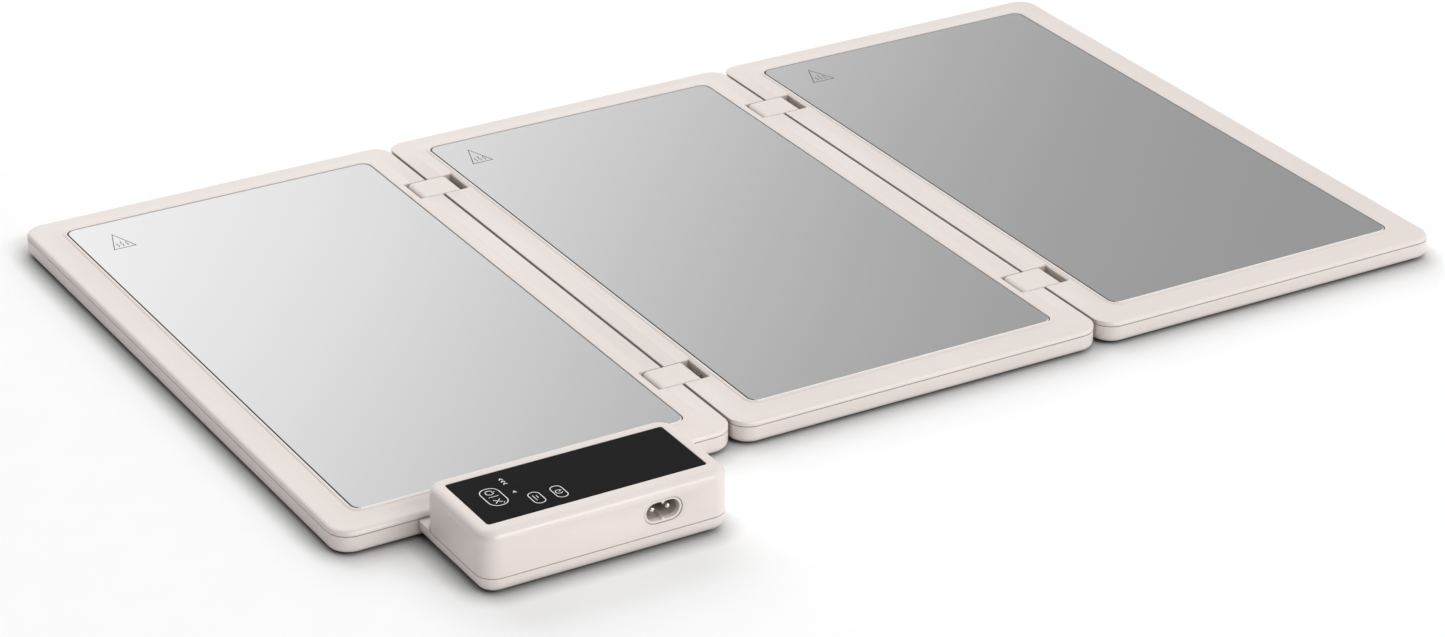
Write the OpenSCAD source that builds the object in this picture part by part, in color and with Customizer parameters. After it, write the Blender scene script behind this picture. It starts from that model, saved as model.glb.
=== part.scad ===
// Three-leaf folding food warming tray.
// Three glass-topped heated leaves lie side by side. Each seam has two link
// hinges with two pivots each, so the leaves fold in a Z: the middle leaf folds
// up and over the left leaf, and the right leaf folds down and under the middle
// one. A low control box with a touch panel and a two-pin mains inlet stands in
// front of the left leaf. Millimetres; Z = 0 is the surface the feet stand on,
// X = 0 is the middle of the middle leaf.

/* [Leaves] */
// Width of one leaf (X)
leaf_w = 178.8; // [178:0.2:179.2]
// Length of one leaf (Y)
leaf_l = 324; // [318:1:330]
// Distance between leaf centres (X)
pitch = 180; // [180:0.2:180.4]
// Thickness of a leaf between its bottom and the bezel plane
leaf_h = 10; // [10:0.5:10.5]
// Plan radius of a leaf's corners
leaf_r = 9.5; // [7:0.5:12]
// Height of the rim around the glass above the bezel plane
rim_h = 0.8; // [0.4:0.1:1.2]
// Position of the leaves' centre along Y
leaf_y = 28; // [28:1:28]

/* [Glass] */
// Width of the glass
glass_w = 148.5; // [148:0.5:149]
// Length of the glass
glass_l = 294; // [288:1:296]
// Thickness of the glass
glass_t = 4; // [4:0.5:4]
// Plan radius of the glass corners
glass_r = 4.5; // [3:0.5:6]

/* [Hinges] */
// Distance of a hinge centre from the leaf centre along Y
hinge_y = 108.75; // [105:0.25:112]
// Half of a link's length across the seam
link_half = 10.3; // [10.3:0.1:10.3]
// Distance of each pivot from the seam
pivot_s = 7.3; // [7.3:0.1:7.3]
// Radius of the pivot pins
pin_r = 1.5; // [1.2:0.1:1.6]
// Reach of a hinge pocket from the seam into the leaf on its right
pocket_s = 12.5; // [12.4:0.1:12.5]
// Reach of a hinge pocket from the seam into the leaf on its left
pocket_l = 11.4; // [11.3:0.1:11.5]
// Width of a hinge pocket along Y
pocket_w = 17.6; // [17:0.2:18]

/* [Control box] */
// Width of the control box (X)
box_w = 109; // [106:1:112]
// Depth of the control box (Y)
box_d = 51.8; // [50:0.2:52]
// Height of the control box top above the leaf bottom
box_h = 26.5; // [26:0.5:28]
// Plan radius of the box corners
box_r = 8; // [6:0.5:10]
// Width of the touch panel
touch_w = 96; // [94:0.5:98]
// Depth of the touch panel
touch_d = 36.2; // [34:0.2:37]

/* [Mains inlet] */
// Inlet centre along X
inlet_x = -156.4; // [-160:0.2:-154]
// Inlet centre height
inlet_z = 17.6; // [17:0.2:18]
// Radius of the two lobes of the inlet opening
lobe_r = 3.9; // [3.7:0.1:4]
// Half of the distance between the inlet pins
pin_s = 3.45; // [3.3:0.05:3.6]

/* [Hidden] */
$fn = 48;
eps = 0.01;
foot_h = 1;
z0 = foot_h;                 // underside of the shells
zt = z0 + leaf_h;            // bezel plane
zp = zt - 2.2;               // parting plane of the leaf shells
floor_t = 1.5;
wall = 2;
zf = z0 + floor_t;           // inside floor of a leaf
gz1 = zt + 0.6;              // glass top
gz0 = gz1 - glass_t;         // glass underside
open_w = glass_w + 0.7;
open_l = glass_l + 0.7;
skirt_z = zp - 3.4;
ledge_z0 = gz0 - 2.0;
ledge_z1 = gz0 - 0.5;
edge_x = leaf_w / 2;
seam_gap = pitch - leaf_w;
up_z = zt - 3;               // pivot height of the fold-up seam
down_z = z0 + 3;             // pivot height of the fold-down seam
bore_r = pin_r + 0.05;
link_w = pocket_w - 0.7;
block_y = pocket_w / 2 + 7.2; // half length of a hinge block along Y
film_w = 130;
film_l = 276;
box_x = -pitch;
box_y0 = leaf_y - leaf_l / 2 - 56;   // front face of the box
box_y1 = box_y0 + box_d;             // rear face of the box housing
box_yc = box_y0 + box_d / 2;
leaf_y0 = leaf_y - leaf_l / 2;       // front face of the leaves
box_zp = z0 + 7;                     // parting plane of the box
box_zt = z0 + box_h;
touch_t = 1.5;
screw_xy = concat(
    [for (a = [-1, 1], b = [-1, 1]) [a * (edge_x - 7.2), b * (leaf_l / 2 - 8)]],
    [for (a = [-1, 1], b = [-1, 1]) [a * (edge_x - 7.2), b * 50]],
    [for (b = [-1, 1]) [0, b * (leaf_l / 2 - 7.4)]]);
foot_xy = [for (a = [-1, 1], b = [-1, 1]) [a * 62, b * 150]];
post_xy = [for (a = [-1, 1], b = [-1, 1]) [a * 48, b * 19.4]];
board_xy = [for (a = [-1, 1], b = [-1, 1]) [a * 40, b * 13.5]];
box_foot_xy = [for (a = [-1, 1], b = [-1, 1]) [a * 38, b * 15]];

// ---------- shared shapes ----------

// rounded rectangle, true corner arcs
module rr(w, l, r) {
    square([w - 2 * r, l], center = true);
    square([w, l - 2 * r], center = true);
    for (a = [-1, 1], b = [-1, 1]) translate([a * (w / 2 - r), b * (l / 2 - r)]) circle(r);
}

// right half of a slab's section: bottom edge radius rb, top edge radius rt
function edge_pts(x, za, zb, rb, rt, n = 4) = concat(
    [for (i = [0:n]) [x - rb + rb * sin(90 * i / n), za + rb - rb * cos(90 * i / n)]],
    [for (i = [0:n]) [x - rt + rt * cos(90 * i / n), zb - rt + rt * sin(90 * i / n)]]);
function flipped(p) = [for (i = [len(p) - 1:-1:0]) [-p[i][0], p[i][1]]];

// slab with rounded plan corners and rounded top and bottom edges
module soft_slab(w, l, r, za, zb, rb, rt) {
    pw = edge_pts(w / 2, za, zb, rb, rt);
    pl = edge_pts(l / 2, za, zb, rb, rt);
    pr = edge_pts(r, za, zb, rb, rt);
    rotate([90, 0, 0]) linear_extrude(l - 2 * r, center = true) polygon(concat(pw, flipped(pw)));
    rotate([90, 0, 90]) linear_extrude(w - 2 * r, center = true) polygon(concat(pl, flipped(pl)));
    for (a = [-1, 1], b = [-1, 1]) translate([a * (w / 2 - r), b * (l / 2 - r), 0])
        rotate_extrude() polygon(concat([[0, za]], pr, [[0, zb]]));
}

module block(x0, x1, y0, y1, za, zb) {
    translate([x0, y0, za]) cube([x1 - x0, y1 - y0, zb - za]);
}

// square-section lead through a list of points, each leg along X, Y or Z
module lead(pts, r) {
    for (i = [0:len(pts) - 2]) {
        lo = [for (k = [0:2]) min(pts[i][k], pts[i + 1][k]) - r];
        hi = [for (k = [0:2]) max(pts[i][k], pts[i + 1][k]) + r];
        translate(lo) cube(hi - lo);
    }
}

// ---------- leaf parts, drawn about the leaf's own centre ----------
// sl, sr: the seam on the left / right side: 0 none, 1 folds up, 2 folds down

function pivot_z(kind) = kind == 1 ? up_z : down_z;

module pocket_cuts(side, kind) {
    // side -1: the seam is on the left of this leaf, 1: on its right
    s0 = -1;
    d = (side > 0 ? pocket_l : pocket_s) - seam_gap / 2;
    for (b = [-1, 1]) translate([side * edge_x, b * hinge_y, 0])
        translate([side > 0 ? -d : s0, -pocket_w / 2, kind == 1 ? zf : -1])
            cube([d - s0, pocket_w, 40]);
}

module pin_holes(side, kind) {
    for (b = [-1, 1], c = [-1, 1])
        translate([side * (edge_x + seam_gap / 2 - pivot_s), b * hinge_y + c * (pocket_w / 2 - 1), pivot_z(kind)])
            rotate([-90 * c, 0, 0]) cylinder(h = 7, r = pin_r);
}

module lead_holes(side, kind) {
    for (b = [-1, 1])
        translate([side * (edge_x + seam_gap / 2 - pocket_s - 1.3), b * hinge_y, pivot_z(kind) - (kind == 1 ? 1 : 0)])
            cube([7, 6, kind == 1 ? 4.6 : 2.8], center = true);
}

module hinge_blocks(side) {
    x = pocket_s - seam_gap / 2 + 1;
    for (b = [-1, 1]) translate([side > 0 ? edge_x - x : -edge_x + 0.6, b * hinge_y - block_y, zf - 0.2])
        cube([x - 0.6, 2 * block_y, zp - zf + 0.2]);
}

module lower_shell(sl, sr) {
    difference() {
        union() {
            difference() {
                soft_slab(leaf_w, leaf_l, leaf_r, z0, zp, 3, 0.3);
                translate([0, 0, zf]) linear_extrude(20) rr(leaf_w - 2 * wall, leaf_l - 2 * wall, leaf_r - wall);
            }
            for (p = screw_xy) translate([p[0], p[1], z0 + 0.2]) cylinder(h = 2.4, r = 4);
            for (p = foot_xy) translate([p[0], p[1], z0 + 0.2]) cylinder(h = 2, r = 7.4);
            if (sl > 0) hinge_blocks(-1);
            if (sr > 0) hinge_blocks(1);
        }
        for (p = screw_xy) translate([p[0], p[1], z0 - 1]) {
            cylinder(h = 5, r = 1.6);
            cylinder(h = 2.3, r = 2.8);
        }
        for (p = foot_xy) translate([p[0], p[1], z0 - 1]) cylinder(h = 1.8, r = 6);
        if (sl > 0) { pocket_cuts(-1, sl); pin_holes(-1, sl); lead_holes(-1, sl); }
        if (sr > 0) { pocket_cuts(1, sr); pin_holes(1, sr); lead_holes(1, sr); }
    }
}

module upper_frame(sl, sr) {
    difference() {
        union() {
            difference() {
                soft_slab(leaf_w, leaf_l, leaf_r, zp, zt, 0.2, 1.8);
                translate([0, 0, zp - 1]) linear_extrude(20) rr(open_w, open_l, glass_r + 0.35);
            }
            // rim that stands around the glass
            translate([0, 0, zt - 0.5]) linear_extrude(0.5 + rim_h) difference() {
                rr(open_w + 2.6, open_l + 2.6, glass_r + 1.65);
                rr(open_w, open_l, glass_r + 0.35);
            }
            // skirt and ledge under the glass
            translate([0, 0, ledge_z0]) linear_extrude(zp + 0.5 - ledge_z0) difference() {
                rr(open_w + 3.4, open_l + 3.4, glass_r + 2);
                rr(open_w, open_l, glass_r + 0.35);
            }
            translate([0, 0, ledge_z0]) linear_extrude(ledge_z1 - ledge_z0) difference() {
                rr(open_w + 1, open_l + 1, glass_r + 0.8);
                rr(open_w - 10, open_l - 10, 3);
            }
            for (p = screw_xy) translate([p[0], p[1], z0 + 2.6]) cylinder(h = zp + 0.5 - z0 - 2.6, r = 3);
        }
        for (p = screw_xy) translate([p[0], p[1], z0]) cylinder(h = 7.6, r = 1.1);
        if (sl > 0) { pocket_cuts(-1, sl); pin_holes(-1, sl); lead_holes(-1, sl); }
        if (sr > 0) { pocket_cuts(1, sr); pin_holes(1, sr); lead_holes(1, sr); }
    }
}

module glass() {
    translate([0, 0, gz0]) linear_extrude(glass_t) rr(glass_w, glass_l, glass_r);
}

module glass_gasket() {
    translate([0, 0, ledge_z1]) linear_extrude(gz0 - ledge_z1) difference() {
        rr(glass_w - 0.6, glass_l - 0.6, glass_r);
        rr(open_w - 10, open_l - 10, 3);
    }
}

// foil heater bonded to the glass, with two solder tabs at its front edge
module heater_film() {
    translate([0, 0, gz0 - 0.4]) linear_extrude(0.4) {
        rr(film_w, film_l, 3);
        for (a = [-1, 1]) translate([a * 6, -film_l / 2 - 1.5]) square([4, 5], center = true);
    }
}

module insulation_pad() {
    difference() {
        translate([0, 0, zf]) linear_extrude(gz0 - 0.4 - zf) rr(film_w - 2, film_l - 4, 3);
        block(-8, 8, -7.6, 6, gz0 - 4, gz0);
        block(26, 34, -40, -30, gz0 - 3, gz0);
        block(-3, 33, -film_l / 2 - 5, -film_l / 2 + 8, zf - 1, gz0);
        block(0.5, 6.5, -film_l / 2 + 6, -2, gz0 - 3, gz0);
        block(27, 33, -film_l / 2 + 6, -32, gz0 - 3, gz0);
    }
}

// bimetal cut-off pressed against the film
module thermal_cutoff() {
    translate([0, 0, gz0 - 0.4 - 3]) {
        linear_extrude(3) rr(14, 7, 1);
        for (a = [-1, 1]) translate([a * 3, -3.5 - 1.5, 0.8]) linear_extrude(0.6) square([2, 3.2], center = true);
    }
}

module temperature_sensor() {
    translate([30, -35, gz0 - 0.4 - 2.2]) {
        linear_extrude(2.2) rr(4.5, 7, 1);
        for (a = [-1, 1]) translate([a, -3.4, 1.1]) rotate([90, 0, 0]) cylinder(h = 1.5, r = 0.35);
    }
}

module feet() {
    for (p = foot_xy) translate([p[0], p[1], 0]) {
        rotate_extrude() polygon([[0, 0], [5.2, 0], [5.8, 0.4], [5.9, 1.78], [0, 1.78]]);
    }
}

module shell_screws() {
    for (p = screw_xy) translate([p[0], p[1], z0]) difference() {
        union() {
            translate([0, 0, 0.2]) cylinder(h = 1.1, r = 2.5);
            cylinder(h = 7, r = 1.1);
        }
        translate([0, 0, -1]) cylinder(h = 2, r = 1.2, $fn = 6);
    }
}

// stub pins pressed into the hinge blocks of one leaf
module hinge_pins(sl, sr) {
    for (e = [[-1, sl], [1, sr]]) if (e[1] > 0)
        for (b = [-1, 1], c = [-1, 1])
            translate([e[0] * (edge_x + seam_gap / 2 - pivot_s), b * hinge_y + c * 4.6, pivot_z(e[1])])
                rotate([-90 * c, 0, 0]) cylinder(h = pocket_w / 2 + 6 - 4.6, r = pin_r);
}

// leads from the film's tabs to the seams, front hinge to front hinge, and
// the flat leads of the cut-off and the sensor
module leaf_leads(sl, sr) {
    r = 1.05;
    ym = -film_l / 2 - 1.5;
    zl = down_z;
    fx = edge_x + seam_gap / 2;
    for (c = [-1, 1]) {
        for (e = [[-1, sl], [1, sr]]) if (e[1] > 0) {
            zv = pivot_z(e[1]);
            lead([
                [e[0] * (fx - 12.25), -hinge_y + c * 1.3, zv],
                [e[0] * (fx - 14.6), -hinge_y + c * 1.3, zv],
                [e[0] * (fx - 14.6), -hinge_y + c * 1.3, zl],
                [e[0] * (fx - 21.5 - c * 1.3), -hinge_y + c * 1.3, zl],
                [e[0] * (fx - 21.5 - c * 1.3), ym - c * 1.5, zl],
                [c * 6, ym - c * 1.5, zl]], r);
        }
        lead([[c * 6, ym - c * 1.5, zl], [c * 6, ym - c * 1.5, gz0 - 0.4 - r]], r);
    }
    lead([[3.5, -7.1, gz0 - 2.5], [3.5, -133, gz0 - 2.5], [3.5, -133, zl], [3.5, ym, zl]], 0.5);
    lead([[30, -39.9, gz0 - 1.5], [30, -133, gz0 - 1.5], [30, -133, zl], [30, ym, zl]], 0.5);
}

module leaf_at(i) { translate([i * pitch, leaf_y, 0]) children(); }

// ---------- hinge links ----------

// section of a link across the seam
module link_section(kind) {
    zc = pivot_z(kind);
    r = link_half - pivot_s;
    if (kind == 1) {
        for (a = [-1, 1]) translate([a * pivot_s, zc]) circle(r);
        translate([0, zc]) square([2 * pivot_s, 2 * r], center = true);
    } else {
        for (a = [-1, 1]) translate([a * pivot_s, zc]) circle(r);
        for (a = [-1, 1]) translate([a * (link_half - 3), zt - 3]) circle(3);
        translate([0, (z0 + zt) / 2]) square([2 * pivot_s, zt - z0], center = true);
        translate([0, (zc + zt - 3) / 2]) square([2 * link_half, zt - 3 - zc], center = true);
    }
}

module hinge_links(kind) {
    for (b = [-1, 1]) translate([0, leaf_y + b * hinge_y, 0]) difference() {
        rotate([90, 0, 0]) linear_extrude(link_w, center = true) link_section(kind);
        for (a = [-1, 1], c = [-1, 1]) translate([a * pivot_s, c * 4.2, pivot_z(kind)])
            rotate([-90 * c, 0, 0]) cylinder(h = 10, r = bore_r);
        translate([0, 0, pivot_z(kind) + 0.1]) cube([40, 5.8, 2.3], center = true);
    }
}

module link_leads(kind) {
    for (c = [-1, 1]) translate([0, leaf_y - hinge_y + c * 1.3, pivot_z(kind)])
        rotate([0, 90, 0]) cylinder(h = 2 * link_half - 0.6, r = 1.05, center = true, $fn = 24);
}

// ---------- control box ----------

module box_at() { translate([box_x, box_yc, 0]) children(); }

module housing_plan(d = 0) { rr(box_w + d, box_d + d, box_r + d / 2); }

module box_base() {
    hw = box_w / 2;
    yb = leaf_y0 - box_yc;
    difference() {
        union() {
            // tray that runs back to the leaf, cut down to the parting plane under the
            // housing, so that a low ledge is left around the housing's rear corners
            difference() {
                translate([0, 10, 0]) soft_slab(box_w, box_d + 20, box_r, z0, zp, 5.5, 0.3);
                block(-hw - 1, hw + 1, yb, yb + 20, -1, 20);
                translate([0, 0, z0 + 2]) linear_extrude(20) rr(box_w - 4.4, box_d - 4.4, box_r - 2.2);
                translate([0, 0, box_zp]) linear_extrude(20) housing_plan(0.3);
            }
            for (p = board_xy) translate([p[0], p[1], z0 + 1.5]) cylinder(h = 3.5, r = 3);
            for (p = post_xy) translate([p[0], p[1], z0 + 1.2]) cylinder(h = box_zp - z0 - 1.2, r = 3.6);
        }
        for (p = board_xy) translate([p[0], p[1], z0 + 1.8]) cylinder(h = 5, r = 0.9);
        for (p = post_xy) translate([p[0], p[1], z0 - 1]) {
            cylinder(h = 20, r = 1.6);
            cylinder(h = 4, r = 2.8);
        }
        // wire passage and bridge screw holes
        block(16, 34, box_d / 2 - 6, yb + 2, z0 + 2.2, z0 + 6);
        for (a = [-1, 1]) translate([a * 36, box_d / 2 - 6, z0 + 4]) rotate([-90, 0, 0]) {
            cylinder(h = 20, r = 1.6);
            cylinder(h = 5.4, r = 2.8);
        }
        for (p = box_foot_xy) translate([p[0], p[1], z0 - 1]) cylinder(h = 1.8, r = 5);
    }
}

module c8_plan(d = 0) {
    difference() {
        union() {
            for (a = [-1, 1]) translate([a * 3.4, 0]) circle(lobe_r + d);
            square([6.8, 2 * (lobe_r + d)], center = true);
        }
        for (b = [-1, 1]) polygon([[-0.95, b * (lobe_r + d + 0.1)], [0.95, b * (lobe_r + d + 0.1)], [0, b * (lobe_r + d - 1.1)]]);
    }
}

module inlet_seat(d) {
    for (a = [-1, 1]) translate([a * 3.4, 0]) circle(5.1 + d);
    square([6.8, 10.2 + 2 * d], center = true);
}

module box_housing() {
    difference() {
        union() {
            difference() {
                soft_slab(box_w, box_d, box_r, box_zp, box_zt, 0.3, 3.6);
                translate([0, 0, box_zp - 1]) linear_extrude(box_zt - 2.6 - box_zp + 1) rr(box_w - 4.4, box_d - 4.4, box_r - 2.2);
            }
            for (p = post_xy) translate([p[0], p[1], box_zp]) cylinder(h = box_zt - 2 - box_zp, r = 3.2);
            for (a = [-1, 1]) translate([a * 44.2, 0, box_zt - 6.1]) linear_extrude(4) rr(3.4, 10, 1);
        }
        for (p = post_xy) translate([p[0], p[1], box_zp - 1]) cylinder(h = 11, r = 1.1);
        // seat and window of the touch panel
        translate([0, touch_off, box_zt - touch_t]) linear_extrude(10) rr(touch_w + 0.2, touch_d + 0.2, 1.3);
        translate([0, touch_off, box_zt - 10]) linear_extrude(20) rr(86, 30, 1);
        // hole for the inlet
        translate([inlet_x - box_x, -box_d / 2 - 1, inlet_z]) rotate([-90, 0, 0]) linear_extrude(8) inlet_seat(0.1);
    }
}

touch_off = 1.0;

module touch_panel() {
    translate([0, touch_off, box_zt - touch_t]) linear_extrude(touch_t) rr(touch_w, touch_d, 1.2);
}

module light_guide() {
    translate([0, touch_off, box_zt - touch_t - 2.2]) linear_extrude(2.2) difference() {
        rr(84, 28, 1);
        for (x = [-31, -17, -3]) translate([x, -4]) rr(10, 12, 1);
        translate([20, 0]) rr(30, 20, 1);
    }
}

module touch_board() {
    difference() {
        translate([0, touch_off, box_zt - touch_t - 3.4]) linear_extrude(1.2) rr(85, 34, 1);
        for (a = [-1, 1]) translate([a * 40, touch_off + 14.5, 0]) cylinder(h = 40, r = 1.1);
    }
}

module power_board() {
    difference() {
        translate([0, 0, z0 + 5]) linear_extrude(1.6) rr(88, 36, 2.5);
        for (p = board_xy) translate([p[0], p[1], 0]) cylinder(h = 20, r = 1.3);
    }
}

// relay, supply module, capacitor, fuse, varistor, terminals and two triacs
module power_parts() {
    zb = z0 + 6.6;
    block(-36, -17, -14, 1.5, zb, zb + 11.5);
    block(-12, 8, -13, 3, zb, zb + 9);
    block(-36, -21, 6, 14, zb, zb + 9);
    translate([14, 0, zb + 2.6]) rotate([0, 90, 0]) cylinder(h = 18, r = 2.6);
    block(13, 15, -2.4, 2.4, zb, zb + 4.6);
    block(31, 33, -2.4, 2.4, zb, zb + 4.6);
    translate([-12, 10, zb]) cylinder(h = 10, r = 4);
    translate([0, 12.5, zb]) rotate([90, 0, 0]) translate([0, 4.5, 0]) cylinder(h = 3.4, r = 4.5);
    block(10, 34, 8, 15, zb, zb + 8);
    for (x = [-40, 38]) block(x - 1.5, x + 1.5, -8, 2, zb, zb + 10);
}

// moulded two-pin inlet: flange ring, barrel and rear wall in one piece
module inlet_body() {
    translate([inlet_x - box_x, -box_d / 2, inlet_z]) rotate([-90, 0, 0]) difference() {
        union() {
            linear_extrude(3) inlet_seat(0);
            translate([0, 0, 2.2]) linear_extrude(1.6) square([21, 12.6], center = true);
            linear_extrude(17) for (a = [-1, 1]) { translate([a * 3.4, 0]) circle(4.9); square([6.8, 9.8], center = true); }
        }
        translate([0, 0, -1]) linear_extrude(1.6) inlet_seat(-0.7);
        translate([0, 0, -1]) linear_extrude(15) c8_plan();
        for (a = [-1, 1]) translate([a * pin_s, 0, 0]) cylinder(h = 30, r = 0.9);
    }
}

module inlet_pins() {
    for (a = [-1, 1]) translate([inlet_x - box_x + a * pin_s, -box_d / 2 + 2.4, inlet_z]) rotate([-90, 0, 0]) {
        cylinder(h = 11.6, r = 1.18);
        translate([0, 0, 11.5]) cylinder(h = 6.6, r = 0.9);
    }
}

module inlet_leads() {
    for (a = [-1, 1]) lead([
        [inlet_x - box_x + a * pin_s, -box_d / 2 + 21.4, inlet_z],
        [inlet_x - box_x + a * pin_s, 11.5, inlet_z],
        [inlet_x - box_x + a * pin_s, 11.5, z0 + 15.5]], 0.9);
}

// flat ribbon from the power board to the touch board
module board_ribbon() {
    block(-44, -38, 6.4, 7.4, z0 + 6.6, box_zt - touch_t - 3.4);
    block(-44, -38, 5.4, 8.4, z0 + 6.6, z0 + 9.6);
}

module box_screws() {
    for (p = post_xy) translate([p[0], p[1], z0]) difference() {
        union() {
            translate([0, 0, 1.6]) cylinder(h = 1.4, r = 2.5);
            translate([0, 0, 1.6]) cylinder(h = 11, r = 1.1);
        }
        cylinder(h = 2.4, r = 1.2, $fn = 6);
    }
}

module board_screws() {
    for (p = board_xy) translate([p[0], p[1], z0 + 2]) {
        translate([0, 0, 4.6]) cylinder(h = 1.2, r = 1.9);
        cylinder(h = 4.7, r = 0.9);
    }
}

// screws along Y that hold the bridge to the left leaf's front wall
module bridge_screws() {
    for (a = [-1, 1]) translate([a * 36, box_d / 2 - 2, z0 + 4]) rotate([-90, 0, 0]) {
        cylinder(h = 1.4, r = 2.5);
        cylinder(h = leaf_y0 - box_yc - box_d / 2 + 2 + 6, r = 1.1);
    }
}

module box_feet() {
    for (p = box_foot_xy) translate([p[0], p[1], 0])
        rotate_extrude() polygon([[0, 0], [4.2, 0], [4.8, 0.4], [4.9, 1.78], [0, 1.78]]);
}

// the left leaf's lower shell also takes the bridge screws and the wire passage
module left_lower_shell() {
    color([0.90, 0.86, 0.83]) difference() {
        union() {
            leaf_at(-1) lower_shell(0, 1);
            for (a = [-1, 1]) translate([box_x + a * 36, leaf_y0 + 0.2, z0 + 4]) rotate([-90, 0, 0]) cylinder(h = 7.6, r = 2.8);
        }
        for (a = [-1, 1]) translate([box_x + a * 36, leaf_y0 - 2, z0 + 4]) rotate([-90, 0, 0]) cylinder(h = 9, r = 1.1);
        translate([box_x, 0, 0]) block(17, 33, leaf_y0 - 1, leaf_y0 + 4, z0 + 2.2, z0 + 6);
    }
}

// four leads from the power board through the bridge into the left leaf
module left_leads() {
    color([0.82, 0.80, 0.76]) {
        leaf_at(-1) leaf_leads(0, 1);
        for (i = [0:3]) translate([box_x, 0, 0]) lead([
            [19.2 + i * 3.4, box_yc + 16.05, z0 + 11],
            [19.2 + i * 3.4, box_yc + 21.3, z0 + 11],
            [19.2 + i * 3.4, box_yc + 21.3, z0 + 3.3],
            [19.2 + i * 3.4, leaf_y - film_l / 2 - 1.5, z0 + 3.3]], 1.05);
    }
}

// ---------- drawing ----------

shell_c = [0.90, 0.86, 0.83];
frame_c = [0.93, 0.89, 0.86];

left_lower_shell();
color(frame_c) leaf_at(-1) upper_frame(0, 1);  // left_upper_frame
color([0.78, 0.79, 0.80]) leaf_at(-1) glass();  // left_glass
color([0.45, 0.45, 0.45]) leaf_at(-1) glass_gasket();  // left_glass_gasket
color([0.75, 0.50, 0.25]) leaf_at(-1) heater_film();  // left_heater_film
color([0.85, 0.84, 0.78]) leaf_at(-1) insulation_pad();  // left_insulation_pad
color([0.30, 0.25, 0.20]) leaf_at(-1) thermal_cutoff();  // left_thermal_cutoff
color([0.20, 0.35, 0.25]) leaf_at(-1) temperature_sensor();  // left_temperature_sensor
left_leads();
color([0.55, 0.53, 0.51]) leaf_at(-1) feet();  // left_feet
color([0.60, 0.60, 0.62]) leaf_at(-1) shell_screws();  // left_shell_screws
color([0.70, 0.70, 0.72]) leaf_at(-1) hinge_pins(0, 1);  // left_hinge_pins

color(shell_c) leaf_at(0) lower_shell(1, 2);  // middle_lower_shell
color(frame_c) leaf_at(0) upper_frame(1, 2);  // middle_upper_frame
color([0.72, 0.73, 0.74]) leaf_at(0) glass();  // middle_glass
color([0.45, 0.45, 0.45]) leaf_at(0) glass_gasket();  // middle_glass_gasket
color([0.75, 0.50, 0.25]) leaf_at(0) heater_film();  // middle_heater_film
color([0.85, 0.84, 0.78]) leaf_at(0) insulation_pad();  // middle_insulation_pad
color([0.30, 0.25, 0.20]) leaf_at(0) thermal_cutoff();  // middle_thermal_cutoff
color([0.20, 0.35, 0.25]) leaf_at(0) temperature_sensor();  // middle_temperature_sensor
color([0.82, 0.80, 0.76]) leaf_at(0) leaf_leads(1, 2);  // middle_leads
color([0.55, 0.53, 0.51]) leaf_at(0) feet();  // middle_feet
color([0.60, 0.60, 0.62]) leaf_at(0) shell_screws();  // middle_shell_screws
color([0.70, 0.70, 0.72]) leaf_at(0) hinge_pins(1, 2);  // middle_hinge_pins

color(shell_c) leaf_at(1) lower_shell(2, 0);  // right_lower_shell
color(frame_c) leaf_at(1) upper_frame(2, 0);  // right_upper_frame
color([0.64, 0.65, 0.66]) leaf_at(1) glass();  // right_glass
color([0.45, 0.45, 0.45]) leaf_at(1) glass_gasket();  // right_glass_gasket
color([0.75, 0.50, 0.25]) leaf_at(1) heater_film();  // right_heater_film
color([0.85, 0.84, 0.78]) leaf_at(1) insulation_pad();  // right_insulation_pad
color([0.30, 0.25, 0.20]) leaf_at(1) thermal_cutoff();  // right_thermal_cutoff
color([0.20, 0.35, 0.25]) leaf_at(1) temperature_sensor();  // right_temperature_sensor
color([0.82, 0.80, 0.76]) leaf_at(1) leaf_leads(2, 0);  // right_leads
color([0.55, 0.53, 0.51]) leaf_at(1) feet();  // right_feet
color([0.60, 0.60, 0.62]) leaf_at(1) shell_screws();  // right_shell_screws
color([0.70, 0.70, 0.72]) leaf_at(1) hinge_pins(2, 0);  // right_hinge_pins

color(frame_c) translate([-pitch / 2, 0, 0]) hinge_links(1);  // hinge_links_1
color([0.82, 0.80, 0.76]) translate([-pitch / 2, 0, 0]) link_leads(1);  // link_leads_1
color(frame_c) translate([pitch / 2, 0, 0]) hinge_links(2);  // hinge_links_2
color([0.82, 0.80, 0.76]) translate([pitch / 2, 0, 0]) link_leads(2);  // link_leads_2

color(shell_c) box_at() box_base();
color(frame_c) box_at() box_housing();
color([0.10, 0.10, 0.11]) box_at() touch_panel();
color([0.95, 0.95, 0.92]) box_at() light_guide();
color([0.10, 0.35, 0.20]) box_at() touch_board();
color([0.10, 0.35, 0.20]) box_at() power_board();
color([0.15, 0.25, 0.50]) box_at() power_parts();
color([0.22, 0.19, 0.17]) box_at() inlet_body();
color([0.85, 0.84, 0.80]) box_at() inlet_pins();
color([0.35, 0.30, 0.28]) box_at() inlet_leads();
color([0.80, 0.80, 0.80]) box_at() board_ribbon();
color([0.60, 0.60, 0.62]) box_at() box_screws();
color([0.60, 0.60, 0.62]) box_at() board_screws();
color([0.60, 0.60, 0.62]) box_at() bridge_screws();
color([0.55, 0.53, 0.51]) box_at() box_feet();
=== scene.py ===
"""Looks for the folding warming tray: shells, glass, links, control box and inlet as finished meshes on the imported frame."""
import math

import bpy
import bmesh
import numpy as np
from mathutils import Matrix, Vector

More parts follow.
